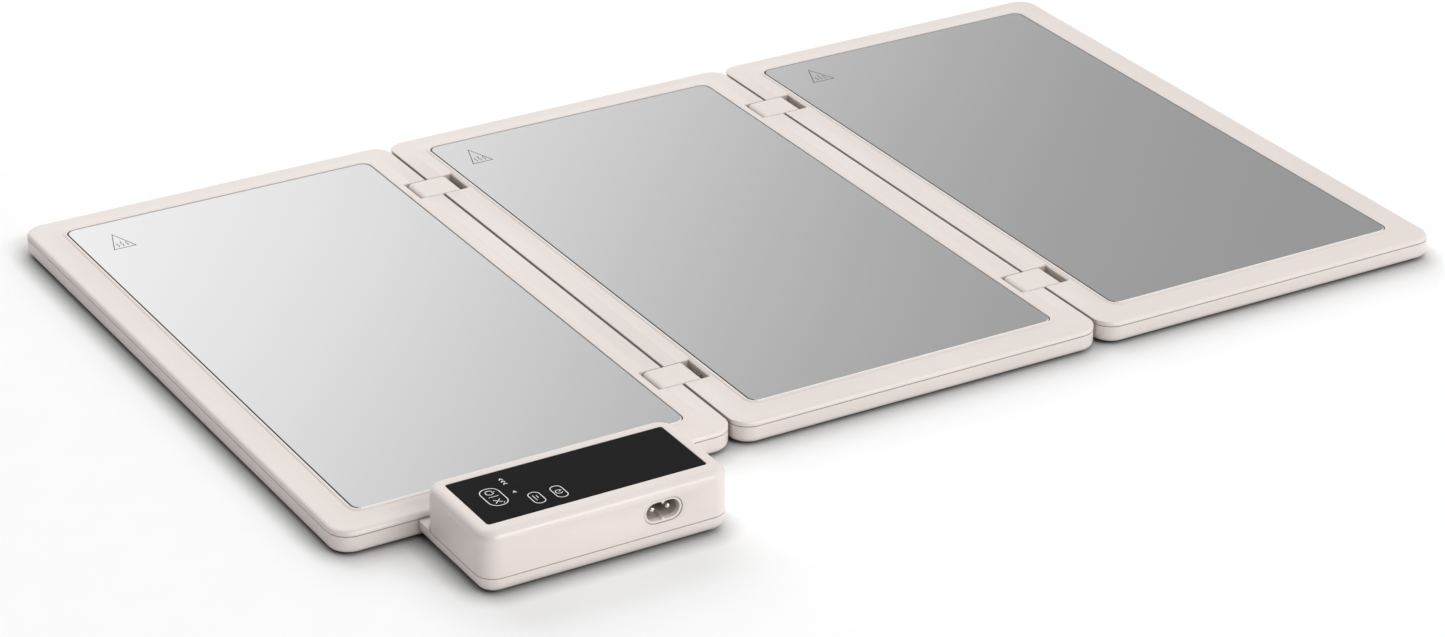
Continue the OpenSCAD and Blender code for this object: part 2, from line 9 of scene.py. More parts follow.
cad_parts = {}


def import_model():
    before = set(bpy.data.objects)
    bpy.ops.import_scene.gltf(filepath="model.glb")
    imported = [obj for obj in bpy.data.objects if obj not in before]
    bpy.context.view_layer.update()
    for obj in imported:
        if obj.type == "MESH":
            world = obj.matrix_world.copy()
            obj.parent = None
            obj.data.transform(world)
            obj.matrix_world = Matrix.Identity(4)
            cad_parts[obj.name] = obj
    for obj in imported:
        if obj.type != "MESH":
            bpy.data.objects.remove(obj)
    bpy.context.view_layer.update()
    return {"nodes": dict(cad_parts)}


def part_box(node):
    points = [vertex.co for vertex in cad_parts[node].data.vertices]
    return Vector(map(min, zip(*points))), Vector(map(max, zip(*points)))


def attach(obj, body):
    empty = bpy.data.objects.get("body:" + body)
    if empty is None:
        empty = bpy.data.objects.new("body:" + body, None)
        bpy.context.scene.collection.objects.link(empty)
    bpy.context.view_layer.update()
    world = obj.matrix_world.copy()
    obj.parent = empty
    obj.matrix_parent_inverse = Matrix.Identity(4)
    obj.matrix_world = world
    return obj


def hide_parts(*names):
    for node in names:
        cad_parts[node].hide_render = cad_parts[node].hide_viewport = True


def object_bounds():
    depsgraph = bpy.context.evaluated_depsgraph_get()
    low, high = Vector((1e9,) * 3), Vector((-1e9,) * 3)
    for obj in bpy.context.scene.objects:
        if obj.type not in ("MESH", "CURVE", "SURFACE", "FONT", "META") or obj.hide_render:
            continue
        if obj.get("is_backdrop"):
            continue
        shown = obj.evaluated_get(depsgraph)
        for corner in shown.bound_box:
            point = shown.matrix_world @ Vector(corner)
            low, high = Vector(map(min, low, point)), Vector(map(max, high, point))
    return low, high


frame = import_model()
MM = 0.001
scene = bpy.context.scene

# ---------------------------------------------------------------- places from the frame (mm)
def box_mm(node):
    lo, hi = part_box(node)
    return [c / MM for c in lo], [c / MM for c in hi]

SIDES = ("left", "middle", "right")
LEAF = {}
for s in SIDES:
    lo, hi = box_mm(s + "_lower_shell")
    glo, ghi = box_mm(s + "_glass")
    flo, fhi = box_mm(s + "_upper_frame")
    LEAF[s] = dict(lo=lo, hi=hi, glo=glo, ghi=ghi, cx=(glo[0] + ghi[0]) / 2, cy=(glo[1] + ghi[1]) / 2, rim=fhi[2])
Z0 = LEAF["left"]["lo"][2]
ZP = LEAF["left"]["hi"][2]
ZRIM = LEAF["left"]["rim"]
ZT = ZRIM - 0.8
LW = LEAF["middle"]["hi"][0] - LEAF["middle"]["lo"][0]
Y0, Y1 = LEAF["middle"]["lo"][1], LEAF["middle"]["hi"][1]
R_LEAF = 9.5
GAP = LEAF["middle"]["lo"][0] - LEAF["left"]["hi"][0]
HINGE_Y = 108.75
POCKET_R = 12.5 - GAP / 2
POCKET_L = 11.4 - GAP / 2
PIVOT = 7.3
POCKET_W = 17.6
hlo, hhi = box_mm("box_housing")
blo, bhi = box_mm("box_base")
tlo, thi = box_mm("touch_panel")
ilo, ihi = box_mm("inlet_body")
BX, BY = (hlo[0] + hhi[0]) / 2, (hlo[1] + hhi[1]) / 2
BW, BD = hhi[0] - hlo[0], hhi[1] - hlo[1]
ZB, ZBT = hlo[2], hhi[2]
IX, IZ = (box_mm("inlet_pins")[0][0] + box_mm("inlet_pins")[1][0]) / 2, (ilo[2] + ihi[2]) / 2

# ---------------------------------------------------------------- node helpers
def new_mat(name):
    m = bpy.data.materials.new(name)
    m.use_nodes = True
    nt = m.node_tree
    nt.nodes.clear()
    out = nt.nodes.new("ShaderNodeOutputMaterial")
    p = nt.nodes.new("ShaderNodeBsdfPrincipled")
    nt.links.new(p.outputs[0], out.inputs[0])
    return m, nt, p

def coords(nt, scale=(1, 1, 1)):
    tc = nt.nodes.new("ShaderNodeTexCoord")
    mp = nt.nodes.new("ShaderNodeMapping")
    mp.inputs["Scale"].default_value = scale
    nt.links.new(tc.outputs["Object"], mp.inputs["Vector"])
    return mp.outputs[0]

def noise(nt, vec, scale, detail=3.0, rough=0.5):
    n = nt.nodes.new("ShaderNodeTexNoise")
    n.inputs["Scale"].default_value = scale
    n.inputs["Detail"].default_value = detail
    n.inputs["Roughness"].default_value = rough
    nt.links.new(vec, n.inputs["Vector"])
    return n.outputs[0]

def ramp(nt, fac, stops):
    r = nt.nodes.new("ShaderNodeValToRGB")
    while len(r.color_ramp.elements) < len(stops):
        r.color_ramp.elements.new(0.5)
    for e, (pos, col) in zip(r.color_ramp.elements, stops):
        e.position = pos
        e.color = (*col, 1) if len(col) == 3 else col
    nt.links.new(fac, r.inputs[0])
    return r.outputs[0]

def grey(nt, fac, a, b, lo=0.3, hi=0.7):
    return ramp(nt, fac, [(lo, (a, a, a)), (hi, (b, b, b))])

def bump(nt, height, strength, dist, normal=None):
    b = nt.nodes.new("ShaderNodeBump")
    b.inputs["Strength"].default_value = strength
    b.inputs["Distance"].default_value = dist
    nt.links.new(height, b.inputs["Height"])
    if normal is not None:
        nt.links.new(normal, b.inputs["Normal"])
    return b.outputs[0]

def plastic(name, col, rough=0.42, grain=2600, depth=0.000012, strength=0.35, vary=0.02, spec=0.5, coat=0.0, sss=0.0, painted_shade=0.0):
    """Moulded plastic: fine spark-eroded grain, a slow drift of tone and gloss."""
    m, nt, p = new_mat(name)
    v = coords(nt)
    slow = noise(nt, v, 14, 2)
    fine = noise(nt, v, grain, 2, 0.6)
    mid = noise(nt, v, 420, 3, 0.55)
    a = tuple(c * (1 - vary) for c in col)
    b = tuple(min(1.0, c * (1 + vary)) for c in col)
    base = ramp(nt, slow, [(0.3, a), (0.7, b)])
    mix = nt.nodes.new("ShaderNodeMixRGB")
    mix.blend_type = "MULTIPLY"
    mix.inputs[0].default_value = 0.35
    nt.links.new(base, mix.inputs[1])
    nt.links.new(grey(nt, mid, 0.965, 1.0), mix.inputs[2])
    if painted_shade:
        # painted shade: narrow gaps and shut lines are darkened in the base colour by an ambient-occlusion multiply, so
        # they read a little deeper than the open faces
        ao = nt.nodes.new("ShaderNodeAmbientOcclusion")
        ao.samples = 5
        ao.inputs["Distance"].default_value = 0.0022
        deep = nt.nodes.new("ShaderNodeMixRGB")
        deep.blend_type = "MULTIPLY"
        deep.inputs[0].default_value = painted_shade
        nt.links.new(mix.outputs[0], deep.inputs[1])
        nt.links.new(ao.outputs["AO"], deep.inputs[2])
        mix = deep
    nt.links.new(mix.outputs[0], p.inputs["Base Color"])
    nt.links.new(grey(nt, mid, rough - 0.05, rough + 0.06), p.inputs["Roughness"])
    p.inputs["IOR"].default_value = 1.5
    p.inputs["Specular IOR Level"].default_value = spec
    if coat:
        p.inputs["Coat Weight"].default_value = coat
        p.inputs["Coat Roughness"].default_value = 0.25
    if sss:
        p.inputs["Subsurface Weight"].default_value = sss
        p.inputs["Subsurface Radius"].default_value = (0.0012, 0.0009, 0.0007)
        p.inputs["Subsurface Scale"].default_value = 1.0
    nt.links.new(bump(nt, fine, strength, depth), p.inputs["Normal"])
    return m

def coated_glass(name):
    """Silver-grey coated tempered glass: a bright coating under a polished face, with faint wiping haze."""
    m, nt, p = new_mat(name)
    v = coords(nt)
    haze = noise(nt, coords(nt, (1, 0.35, 1)), 9, 4, 0.6)
    cloud = noise(nt, v, 3.0, 2)
    nt.links.new(ramp(nt, cloud, [(0.3, GLASS_A), (0.7, GLASS_B)]), p.inputs["Base Color"])
    p.inputs["Metallic"].default_value = 1.0
    nt.links.new(grey(nt, haze, 0.115, 0.15), p.inputs["Roughness"])
    p.inputs["IOR"].default_value = 1.5
    wave = noise(nt, v, 5.0, 1)
    nt.links.new(bump(nt, wave, 0.02, 0.0004), p.inputs["Normal"])
    return m

def black_glass(name):
    m, nt, p = new_mat(name)
    v = coords(nt)
    dust = noise(nt, v, 900, 4, 0.65)
    cloud = noise(nt, v, 25, 2)
    nt.links.new(ramp(nt, cloud, [(0.3, (0.0035, 0.0035, 0.0037)), (0.7, (0.0048, 0.0048, 0.0051))]), p.inputs["Base Color"])
    nt.links.new(grey(nt, dust, 0.30, 0.40), p.inputs["Roughness"])
    p.inputs["Specular IOR Level"].default_value = 0.05
    return m

def metal(name, col, rough=0.28, brushed=(1, 1, 14), bump_s=0.15):
    m, nt, p = new_mat(name)
    v = coords(nt, brushed)
    n = noise(nt, v, 900, 3, 0.6)
    nt.links.new(ramp(nt, n, [(0.3, tuple(c * 0.9 for c in col)), (0.7, col)]), p.inputs["Base Color"])
    p.inputs["Metallic"].default_value = 1.0
    nt.links.new(grey(nt, n, rough - 0.06, rough + 0.08), p.inputs["Roughness"])
    nt.links.new(bump(nt, n, bump_s, 0.00001), p.inputs["Normal"])
    return m

def rubber(name, col, rough=0.7):
    m, nt, p = new_mat(name)
    v = coords(nt)
    f = noise(nt, v, 1800, 3, 0.6)
    s = noise(nt, v, 60, 3)
    nt.links.new(ramp(nt, s, [(0.3, tuple(c * 0.9 for c in col)), (0.7, tuple(min(1, c * 1.06) for c in col))]), p.inputs["Base Color"])
    nt.links.new(grey(nt, f, rough - 0.06, rough + 0.08), p.inputs["Roughness"])
    p.inputs["Specular IOR Level"].default_value = 0.35
    nt.links.new(bump(nt, f, 0.4, 0.00002), p.inputs["Normal"])
    return m

def felt(name, col):
    m, nt, p = new_mat(name)
    v = coords(nt, (1, 1, 0.4))
    f = noise(nt, v, 700, 6, 0.75)
    g = noise(nt, v, 90, 4, 0.6)
    mix = nt.nodes.new("ShaderNodeMixRGB")
    mix.inputs[0].default_value = 0.5
    nt.links.new(ramp(nt, f, [(0.3, tuple(c * 0.72 for c in col)), (0.7, col)]), mix.inputs[1])
    nt.links.new(ramp(nt, g, [(0.3, tuple(c * 0.85 for c in col)), (0.7, col)]), mix.inputs[2])
    nt.links.new(mix.outputs[0], p.inputs["Base Color"])
    p.inputs["Roughness"].default_value = 0.95
    p.inputs["Sheen Weight"].default_value = 0.3
    nt.links.new(bump(nt, f, 0.8, 0.0003), p.inputs["Normal"])
    return m

def foil(name):
    """Heater film: amber film over a serpentine foil track."""
    m, nt, p = new_mat(name)
    w = nt.nodes.new("ShaderNodeTexWave")
    w.wave_type = "BANDS"
    w.bands_direction = "Y"
    w.inputs["Scale"].default_value = 45
    w.inputs["Distortion"].default_value = 0.0
    nt.links.new(coords(nt), w.inputs["Vector"])
    nt.links.new(ramp(nt, w.outputs[1], [(0.45, (0.36, 0.15, 0.03)), (0.55, (0.62, 0.44, 0.26))]), p.inputs["Base Color"])
    nt.links.new(ramp(nt, w.outputs[1], [(0.45, (0, 0, 0)), (0.55, (0.7, 0.7, 0.7))]), p.inputs["Metallic"])
    p.inputs["Roughness"].default_value = 0.3
    nt.links.new(bump(nt, w.outputs[1], 0.3, 0.00004), p.inputs["Normal"])
    return m

def board(name):
    m, nt, p = new_mat(name)
    v = coords(nt)
    b = nt.nodes.new("ShaderNodeTexBrick")
    b.inputs["Scale"].default_value = 140
    b.inputs["Mortar Size"].default_value = 0.03
    b.inputs["Color1"].default_value = (0.008, 0.075, 0.030, 1)
    b.inputs["Color2"].default_value = (0.010, 0.088, 0.036, 1)
    b.inputs["Mortar"].default_value = (0.03, 0.16, 0.06, 1)
    nt.links.new(v, b.inputs["Vector"])
    nt.links.new(b.outputs[0], p.inputs["Base Color"])
    nt.links.new(grey(nt, noise(nt, v, 300), 0.28, 0.4), p.inputs["Roughness"])
    nt.links.new(bump(nt, b.outputs[1], 0.3, 0.00003), p.inputs["Normal"])
    return m

# ---------------------------------------------------------------- mesh helpers (all lengths in mm until made)
def make(name, verts, faces, mat, body, smooth=35.0):
    me = bpy.data.meshes.new(name)
    me.from_pydata([tuple(c * MM for c in v) for v in verts], [], faces)
    me.validate()
    o = bpy.data.objects.new(name, me)
    scene.collection.objects.link(o)
    bm = bmesh.new()
    bm.from_mesh(me)
    bmesh.ops.remove_doubles(bm, verts=bm.verts, dist=1e-8)
    bmesh.ops.recalc_face_normals(bm, faces=bm.faces)
    bm.to_mesh(me)
    bm.free()
    me.materials.append(mat)
    finish_mesh(o, smooth)
    if body:
        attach(o, body)
    return o

def finish_mesh(o, smooth):
    me = o.data
    if smooth is None:
        return
    for p in me.polygons:
        p.use_smooth = True
    me.set_sharp_from_angle(angle=math.radians(smooth))

def frame_path(x0, x1, y0, y1, r, n=20, straights=None):
    """Closed counter-clockwise path: points and inward normals."""
    pts, nor = [], []
    for (cx, cy, a0) in ((x1 - r, y1 - r, 0), (x0 + r, y1 - r, 90), (x0 + r, y0 + r, 180), (x1 - r, y0 + r, 270)):
        for i in range(n + 1):
            a = math.radians(a0 + 90 * i / n)
            pts.append((cx + r * math.cos(a), cy + r * math.sin(a)))
            nor.append((-math.cos(a), -math.sin(a)))
    return np.array(pts), np.array(nor)

def loft(rings, close=False, cap0=True, cap1=True):
    """rings: arrays (n, 3). Quads between neighbours; close joins the last ring to the first."""
    n = len(rings[0])
    verts = [tuple(v) for r in rings for v in r]
    faces = []
    m = len(rings)
    for k in range(m if close else m - 1):
        a, b = k * n, ((k + 1) % m) * n
        for i in range(n):
            j = (i + 1) % n
            faces.append((a + i, a + j, b + j, b + i))
    if not close:
        if cap0:
            faces.append(tuple(range(n))[::-1])
        if cap1:
            faces.append(tuple(range((m - 1) * n, m * n)))
    return verts, faces

def ring(path, z):
    z = np.broadcast_to(np.asarray(z, float), (len(path),))
    return np.column_stack([path, z])

def rrect(x0, x1, y0, y1, r, n=20):
    return frame_path(x0, x1, y0, y1, r, n)[0]

def boolean(o, cutter, op="DIFFERENCE"):
    md = o.modifiers.new("b", "BOOLEAN")
    md.operation = op
    md.solver = "EXACT"
    md.object = cutter
    dg = bpy.context.evaluated_depsgraph_get()
    me = bpy.data.meshes.new_from_object(o.evaluated_get(dg))
    o.modifiers.clear()
    old = o.data
    o.data = me
    bpy.data.meshes.remove(old)
    cm = cutter.data
    bpy.data.objects.remove(cutter)
    bpy.data.meshes.remove(cm)

def joined(name, parts):
    """One loose mesh from several (verts, faces) lists, for use as a cutter."""
    verts, faces = [], []
    for v, f in parts:
        k = len(verts)
        verts += v
        faces += [tuple(i + k for i in g) for g in f]
    me = bpy.data.meshes.new(name)
    me.from_pydata([tuple(c * MM for c in v) for v in verts], [], faces)
    o = bpy.data.objects.new(name, me)
    scene.collection.objects.link(o)
    bm = bmesh.new()
    bm.from_mesh(me)
    bmesh.ops.recalc_face_normals(bm, faces=bm.faces)
    bm.to_mesh(me)
    bm.free()
    return o

def clean(o, smooth=35.0, dist=2e-7):
    bm = bmesh.new()
    bm.from_mesh(o.data)
    bmesh.ops.remove_doubles(bm, verts=bm.verts, dist=dist)
    bmesh.ops.dissolve_degenerate(bm, edges=bm.edges, dist=dist)
    bm.to_mesh(o.data)
    bm.free()
    finish_mesh(o, smooth)

def bevel(o, width, segments=2, angle=40):
    md = o.modifiers.new("bev", "BEVEL")
    md.width = width * MM
    md.segments = segments
    md.limit_method = "ANGLE"
    md.angle_limit = math.radians(angle)
    md.harden_normals = False
    return md

def disc(cx, cy, r, z, n=40):
    a = np.linspace(0, 2 * math.pi, n, endpoint=False)
    return np.column_stack([cx + r * np.cos(a), cy + r * np.sin(a), np.full(n, z)])

def turned(cx, cy, prof, n=40):
    """Solid of revolution about Z from (r, z) pairs, capped at both ends."""
    return loft([disc(cx, cy, r, z, n) for r, z in prof])

# ---------------------------------------------------------------- colours
GLASS_A = (0.90, 0.90, 0.905)
GLASS_B = (0.925, 0.925, 0.93)
SHELL = (0.750, 0.680, 0.645)
M = dict(
    shell=plastic("satin_shell_plastic", SHELL, 0.36, coat=0.35, painted_shade=0.7),
    frame=plastic("satin_frame_plastic", SHELL, 0.35, coat=0.35, painted_shade=0.7),
    glass=coated_glass("silver_coated_glass"),
    black=black_glass("black_touch_glass"),
    icon=plastic("printed_white_ink", (0.86, 0.86, 0.85), 0.5, grain=900, vary=0.01),
    mark=plastic("printed_grey_ink", (0.085, 0.085, 0.09), 0.5, grain=900, vary=0.02),
    gasket=rubber("grey_silicone_and_painted_edge_shade", (0.085, 0.075, 0.07), 0.6),
    arris=plastic("ground_edge_and_painted_highlight", (0.93, 0.92, 0.90), 0.5),
    foot=rubber("foot_silicone", (0.36, 0.33, 0.31), 0.75),
    lead=rubber("lead_silicone", (0.22, 0.195, 0.17), 0.5),
    pocket=plastic("pocket_shade", (0.50, 0.44, 0.39), 0.6),
    foil=foil("heater_film"),
    felt=felt("insulation_felt", (0.78, 0.76, 0.68)),
    cutoff=plastic("phenolic", (0.05, 0.03, 0.02), 0.45),
    bead=plastic("epoxy_bead", (0.02, 0.06, 0.03), 0.25),
    screw=metal("zinc_screw", (0.58, 0.58, 0.60), 0.3),
    pin=metal("ground_pin", (0.66, 0.66, 0.68), 0.22),
    nickel=metal("nickel_pin", (0.86, 0.85, 0.82), 0.16, bump_s=0.05),
    board=board("solder_mask"),
    parts=plastic("part_cases", (0.03, 0.06, 0.20), 0.4),
    guide=plastic("milky_guide", (0.80, 0.80, 0.77), 0.35),
    inlet=plastic("inlet_moulding", (0.46, 0.41, 0.36), 0.42),
)
SLOT = dict(shell="shell_plastic", frame="frame_plastic", glass="coated_glass", black="black_glass", gasket="gasket_silicone",
            foot="foot_silicone", inlet="inlet_plastic", nickel="inlet_pin_metal")

# ---------------------------------------------------------------- camera first; floor and lamps at the end
AZ, EL = math.radians(-30.374), math.radians(26.397)
back = Vector((math.sin(AZ) * math.cos(EL), -math.cos(AZ) * math.cos(EL), math.sin(EL)))
target = Vector((-45.55, -45.76, 11.0)) * MM
cam_d = bpy.data.cameras.new("camera")
cam = bpy.data.objects.new("camera", cam_d)
scene.collection.objects.link(cam)
cam.location = target + back * 1.78504
right = Vector((math.cos(AZ), math.sin(AZ), 0))
up = back.cross(right)
cam.matrix_world = Matrix.Translation(cam.location) @ Matrix((right, up, back)).transposed().to_4x4()
cam_d.sensor_width = 36.0
cam_d.sensor_fit = "HORIZONTAL"
cam_d.lens = 104.50
cam_d.clip_start = 0.05
cam_d.clip_end = 60
scene.camera = cam
scene.view_settings.view_transform = "Standard"
scene.view_settings.look = "None"

# ---------------------------------------------------------------- one leaf
def leaf(side, body, seam_l, seam_r):
    L = LEAF[side]
    x0, x1 = L["cx"] - LW / 2, L["cx"] + LW / 2
    n = 22
    P, N = frame_path(x0, x1, Y0, Y1, R_LEAF, n)
    # 1 where a point lies on a seam side, easing to 0 round the corner
    w = np.zeros(len(P))
    for i, (nx, ny) in enumerate(N):
        t = max(-nx if seam_r else 0.0, nx if seam_l else 0.0, 0.0)
        w[i] = t * t * (3 - 2 * t)
    def off(d_out, d_seam=None):
        d_seam = d_out if d_seam is None else d_seam
        return P + N * (d_out + (d_seam - d_out) * w)[:, None]
    # ---- upper frame
    ox0, ox1, oy0, oy1 = L["glo"][0] - 0.35, L["ghi"][0] + 0.35, L["glo"][1] - 0.35, L["ghi"][1] + 0.35
    def inner(d, r):
        return rrect(ox0 - d, ox1 + d, oy0 - d, oy1 + d, r, n)
    ro, rs = 1.9, 0.38
    rings = []
    # shut line lip at the parting plane
    rings.append(ring(off(2.2), ZP))
    rings.append(ring(off(1.3), ZP))
    rings.append(ring(off(1.25), ZP + 0.17))
    rings.append(ring(off(0.08), ZP + 0.19))
    rings.append(ring(off(0.0), ZP + 0.26))
    k = 7
    for i in range(k + 1):
        a = math.pi / 2 * i / k
        d = np.array([(ro, rs)[0] * (1 - math.cos(a)), rs * (1 - math.cos(a))])
        zo, zs = ZT - ro * (1 - math.sin(a)), ZT - rs * (1 - math.sin(a))
        z = zo + (zs - zo) * w
        rings.append(ring(off(d[0], d[1]), np.maximum(z, ZP + 0.27 + 0.004 * i)))
    # flat, shallow valley and the slope up to the rim
    far = off(6.2)
    rim = inner(1.75, 5.8)
    def toward(t):
        return far + (rim - far) * t
    rings.append(ring(off(3.4, 2.6), ZT - 0.015))
    rings.append(ring(off(5.0), ZT - 0.03))
    rings.append(ring(toward(0.0), ZT + 0.01))
    for t, h in ((0.18, 0.03), (0.38, 0.11), (0.58, 0.22), (0.78, 0.34), (0.92, 0.41), (1.0, 0.44)):
        rings.append(ring(toward(t), ZT + h))
    rings.append(ring(inner(1.60, 5.7), ZT + 0.46))
    rings.append(ring(inner(1.42, 5.6), ZT + 0.64))
    rings.append(ring(inner(1.15, 5.4), ZT + 0.76))
    rings.append(ring(inner(0.8, 5.1), ZT + 0.80))
    rings.append(ring(inner(0.45, 4.85), ZT + 0.79))
    rings.append(ring(inner(0.18, 4.6), ZT + 0.74))
    rings.append(ring(inner(0.03, 4.45), ZT + 0.60))
    rings.append(ring(inner(0.0, 4.42), ZT + 0.35))
    gz0 = L["glo"][2]
    rings.append(ring(inner(0.0, 4.42), gz0 - 0.5))
    rings.append(ring(inner(-5.0, 2.0), gz0 - 0.5))
    rings.append(ring(inner(-5.0, 2.0), gz0 - 2.0))
    rings.append(ring(inner(1.7, 5.6), gz0 - 2.0))
    rings.append(ring(inner(1.7, 5.6), ZP))
    up_v, up_f = loft(rings, close=True)
    o = make(side + "_frame_shell", up_v, up_f, M["frame"], None, None)
    # ---- lower shell: a tray
    rb = 3.0
    rings = []
    for i in range(k + 1):
        a = math.pi / 2 * i / k
        rings.append(ring(off(rb * (1 - math.sin(a))), Z0 + rb * (1 - math.cos(a))))
    rings.append(ring(off(0.0), ZP - 0.16))
    rings.append(ring(off(0.08), ZP - 0.08))
    rings.append(ring(off(1.25), ZP - 0.06))
    rings.append(ring(off(1.3), ZP))
    rings.append(ring(off(2.0), ZP))
    rings.append(ring(off(2.0), Z0 + 1.9))
    rings.append(ring(off(2.4), Z0 + 1.5))
    v, f = loft(rings)
    lo_shell = make(side + "_base_shell", v, f, M["shell"], None, None)
    cut_up, cut_lo, blocks, flare, holes = [], [], [], [], []
    def cbox(ax, bx, ay, by, az, bz, flare=0.0, zf=None):
        r = 0.35
        if flare:
            lv = [(0, az), (0, zf - flare), (flare * 0.35, zf - flare * 0.3), (flare, zf), (flare + 1.0, zf + 1.0)]
        else:
            lv = [(0, az), (0, bz)]
        return loft([ring(rrect(ax - d, bx + d, ay - d, by + d, r + d, 4), z) for d, z in lv])
    for sgn, kind in ((-1, seam_l), (1, seam_r)):
        if not kind:
            continue
        xe = x1 if sgn > 0 else x0
        for b in (-1, 1):
            yc = L["cy"] + b * HINGE_Y
            a, c = (xe - POCKET_L, xe + 6) if sgn > 0 else (xe - 6, xe + POCKET_R)
            zlow = Z0 + 1.5 if kind == 1 else Z0 - 3
            cut_up.append(cbox(a, c, yc - POCKET_W / 2, yc + POCKET_W / 2, zlow, ZT + 5, 0.22, ZT + 0.02))
            cut_lo.append(cbox(a, c, yc - POCKET_W / 2, yc + POCKET_W / 2, zlow, ZT + 5))
            if kind == 2:
                flare.append(loft([ring(rrect(a - d, c + d, yc - POCKET_W / 2 - d, yc + POCKET_W / 2 + d, 0.35 + d, 4), z)
                                   for d, z in ((1.25, Z0 - 1.0), (0.25, Z0), (0.02, Z0 + 0.23))]))
            # hinge block that holds the pins
            q0, q1 = (xe - POCKET_R - 1.0, xe - 0.9) if sgn > 0 else (xe + 0.9, xe + POCKET_R + 1.0)
            blocks.append(loft([ring(rrect(q0, q1, yc - 16.0, yc + 16.0, 0.5, 3), z) for z in (Z0 + 0.9, ZP - 0.02)]))
    if blocks:
        boolean(lo_shell, joined("blocks", blocks), "UNION")
    feet, screws = [], []
    for a in (-1, 1):
        for b in (-1, 1):
            feet.append((L["cx"] + a * 62, L["cy"] + b * 150))
            screws.append((L["cx"] + a * (LW / 2 - 7.2), L["cy"] + b * ((Y1 - Y0) / 2 - 8)))
            screws.append((L["cx"] + a * (LW / 2 - 7.2), L["cy"] + b * 50))
    for b in (-1, 1):
        screws.append((L["cx"], L["cy"] + b * ((Y1 - Y0) / 2 - 7.4)))
    for (x, y) in feet:
        holes.append(turned(x, y, ((6.6, Z0 - 1), (6.25, Z0), (6.0, Z0 + 0.2), (6.0, Z0 + 0.8)), 48))
    for (x, y) in screws:
        holes.append(turned(x, y, ((3.6, Z0 - 1), (3.0, Z0), (2.8, Z0 + 0.2), (2.8, Z0 + 1.3)), 36))
    if side == "left":
        # wire passage to the control box
        holes.append(loft([ring(rrect(BX + 17, BX + 33, Y0 - 3, Y0 + 4, 0.3, 2), z) for z in (Z0 + 2.2, Z0 + 6.0)]))
    for k_, cs in enumerate((cut_lo, flare, holes)):
        if cs:
            boolean(lo_shell, joined("cut", cs))
    if cut_up:
        boolean(o, joined("cut", cut_up))
    pockets = []
    for sgn, kind in ((-1, seam_l), (1, seam_r)):
        if kind:
            xe = x1 if sgn > 0 else x0
            ax, bx = (xe - POCKET_L, xe) if sgn > 0 else (xe, xe + POCKET_R)
            pockets += [(ax, bx, L["cy"] + b * HINGE_Y) for b in (-1, 1)]
    clean(o, 32)
    clean(lo_shell, 32)
    # painted shade: faces inside the hinge pockets take the darker pocket_shade material in place of the shade that
    # falls in these recesses
    for ob in (o, lo_shell):
        me = ob.data
        me.materials.append(M["pocket"])
        for f in me.polygons:
            c = f.center / MM
            if c.z > ZT - 0.30 or c.z < Z0 + 0.3:
                continue
            if any(ax - 0.1 < c.x < bx + 0.1 and abs(c.y - yc) < POCKET_W / 2 + 0.1 for ax, bx, yc in pockets):
                f.material_index = 1
    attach(o, body)
    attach(lo_shell, body)
    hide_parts(side + "_upper_frame")
    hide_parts(side + "_lower_shell")
    # ---- glass: polished arris all round; its left-facing and upright front and back edge faces carry painted shade, its right-facing and front top edge faces a painted highlight
    g = [L["glo"][0], L["ghi"][0], L["glo"][1], L["ghi"][1]]
    zb, zt = L["glo"][2], L["ghi"][2]
    prof = [(0.45, zb), (0.12, zb + 0.1), (0.0, zb + 0.45), (0.0, zt - 0.5), (0.05, zt - 0.28), (0.16, zt - 0.1), (0.32, zt)]
    v, f = loft([ring(rrect(g[0] + d, g[1] - d, g[2] + d, g[3] - d, 4.5 - d, n), z) for d, z in prof])
    go = make(side + "_glass_plate", v, f, M["glass"], body, 20)
    go.data.materials.append(M["gasket"])
    go.data.materials.append(M["arris"])
    for q in go.data.polygons:
        # painted shade: left-facing and upright front and back edge faces take the dark silicone material as a shadow
        # gap line
        if q.normal.x < -0.35 or (abs(q.normal.z) < 0.2 and abs(q.normal.y) > 0.9):
            q.material_index = 1
        # partly the ground edge's own pale tone, partly painted highlight: right-facing and front top edge faces take
        # the near-white edge material
        elif q.normal.x > 0.3 or (q.normal.y < -0.3 and q.normal.z > 0.25):
            q.material_index = 2
    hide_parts(side + "_glass")
    # ---- feet: soft domed pads
    parts = [turned(x, y, ((5.0, 0.0), (5.5, 0.12), (5.78, 0.4), (5.88, 0.8), (5.9, 1.78)), 48) for x, y in feet]
    verts, faces = [], []
    for pv, pf in parts:
        q = len(verts)
        verts += pv
        faces += [tuple(i + q for i in h) for h in pf]
    fo = make(side + "_foot_pads", verts, faces, M["foot"], body, 40)
    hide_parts(side + "_feet")

leaf("left", "left_leaf", 0, 1)
leaf("middle", "middle_leaf", 1, 2)
leaf("right", "right_leaf", 2, 0)

# ---------------------------------------------------------------- hinge links
def link_section(kind, zc, inset=0.0):
    """Outline across the seam, about the seam line, counter-clockwise in (s, z)."""
    r = 3.0
    pts = []
    if kind == 1:
        for c, a0 in (((PIVOT, zc), -90), ((-PIVOT, zc), 90)):
            for i in range(25):
                a = math.radians(a0 + 180 * i / 24)
                pts.append((c[0] + (r - inset) * math.cos(a), c[1] + (r - inset) * math.sin(a)))
    else:
        for (cx, cz, a0) in ((PIVOT, zc, -90), (PIVOT, ZT - 3.0, 0), (-PIVOT, ZT - 3.0, 90), (-PIVOT, zc, 180)):
            for i in range(13):
                a = math.radians(a0 + 90 * i / 12)
                pts.append((cx + (r - inset) * math.cos(a), cz + (r - inset) * math.sin(a)))
    return pts

